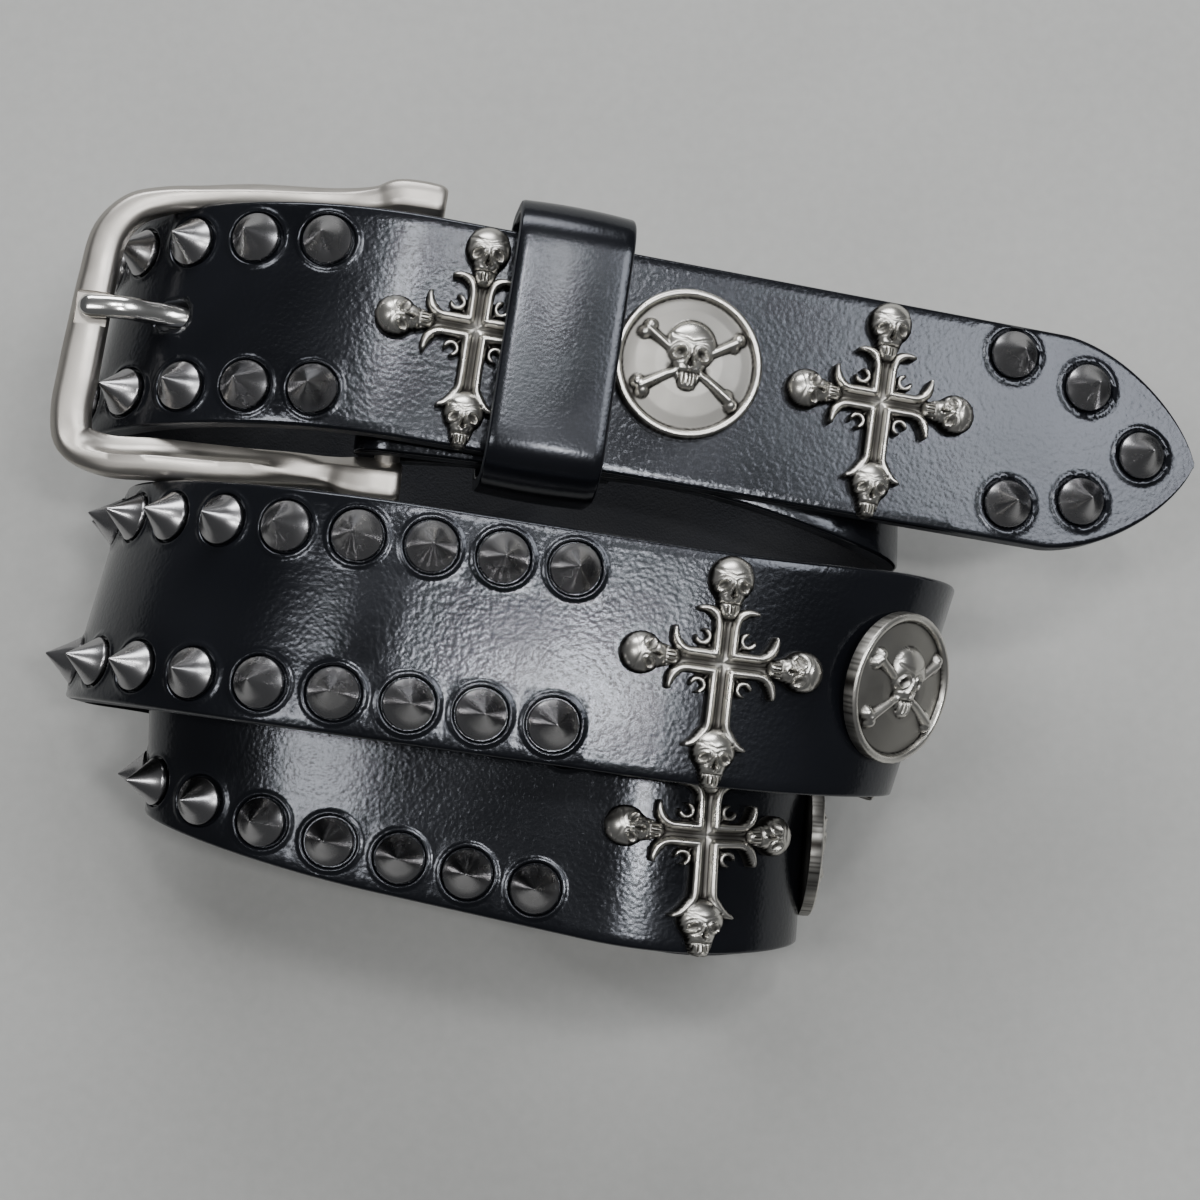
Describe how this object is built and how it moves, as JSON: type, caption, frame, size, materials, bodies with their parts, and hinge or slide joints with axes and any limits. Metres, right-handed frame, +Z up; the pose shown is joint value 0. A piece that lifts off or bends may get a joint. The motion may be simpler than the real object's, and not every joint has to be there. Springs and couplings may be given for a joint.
{
  "type": "studded belt",
  "caption": "Leather belt with cone studs, skull crosses and round medallions, buckled and wound into a coil of three turns.",
  "frame": {"origin": "middle of the coil's outline, on the surface that its lowest studs touch", "axes": "+Z up, +X along the front stretches towards the strap's tip, +Y towards the turn that carries the buckle"},
  "size_m": [0.2022, 0.1352, 0.088],
  "materials": {
    "strap_leather": "black full grain leather, glossy, with fine pebble grain and a raised ring round each stud",
    "keeper_leather": "black glossy leather loop with raw cut edges",
    "stud_metal": "gunmetal, turned cone faces, polished",
    "cross_metal": "antique silver with dark recesses, satin",
    "medallion_metal": "antique silver with dark recesses, satin",
    "buckle_metal": "satin nickel with a warm tint",
    "prong_metal": "satin nickel, smoother than the frame"
  },
  "bodies": {
    "root": {"buckle_frame": "buckle_metal", "cross_low_1": "cross_metal", "cross_low_2": "cross_metal", "cross_middle_1": "cross_metal", "cross_middle_2": "cross_metal", "cross_tip_1": "cross_metal", "cross_tip_2": "cross_metal", "keeper": "keeper_leather", "medallion_low": "medallion_metal", "medallion_middle": "medallion_metal", "medallion_tip": "medallion_metal", "prong": "prong_metal", "strap": "strap_leather", "stud_first_lower_1": "stud_metal", "stud_first_lower_2": "stud_metal", "stud_first_lower_3": "stud_metal", "stud_first_lower_4": "stud_metal", "stud_first_lower_5": "stud_metal", "stud_first_upper_1": "stud_metal", "stud_first_upper_2": "stud_metal", "stud_first_upper_3": "stud_metal", "stud_first_upper_4": "stud_metal", "stud_first_upper_5": "stud_metal", "stud_low_lower_1": "stud_metal", "stud_low_lower_2": "stud_metal", "stud_low_lower_3": "stud_metal", "stud_low_lower_4": "stud_metal", "stud_low_lower_5": "stud_metal", "stud_low_lower_6": "stud_metal", "stud_low_lower_7": "stud_metal", "stud_low_lower_8": "stud_metal", "stud_middle_lower_1": "stud_metal", "stud_middle_lower_2": "stud_metal", "stud_middle_lower_3": "stud_metal", "stud_middle_lower_4": "stud_metal", "stud_middle_lower_5": "stud_metal", "stud_middle_lower_6": "stud_metal", "stud_middle_lower_7": "stud_metal", "stud_middle_lower_8": "stud_metal", "stud_middle_lower_9": "stud_metal", "stud_middle_upper_1": "stud_metal", "stud_middle_upper_2": "stud_metal", "stud_middle_upper_3": "stud_metal", "stud_middle_upper_4": "stud_metal", "stud_middle_upper_5": "stud_metal", "stud_middle_upper_6": "stud_metal", "stud_middle_upper_7": "stud_metal", "stud_middle_upper_8": "stud_metal", "stud_middle_upper_9": "stud_metal", "stud_tip_1": "stud_metal", "stud_tip_2": "stud_metal", "stud_tip_3": "stud_metal", "stud_tip_4": "stud_metal", "stud_tip_5": "stud_metal"}
  },
  "joints": []
}
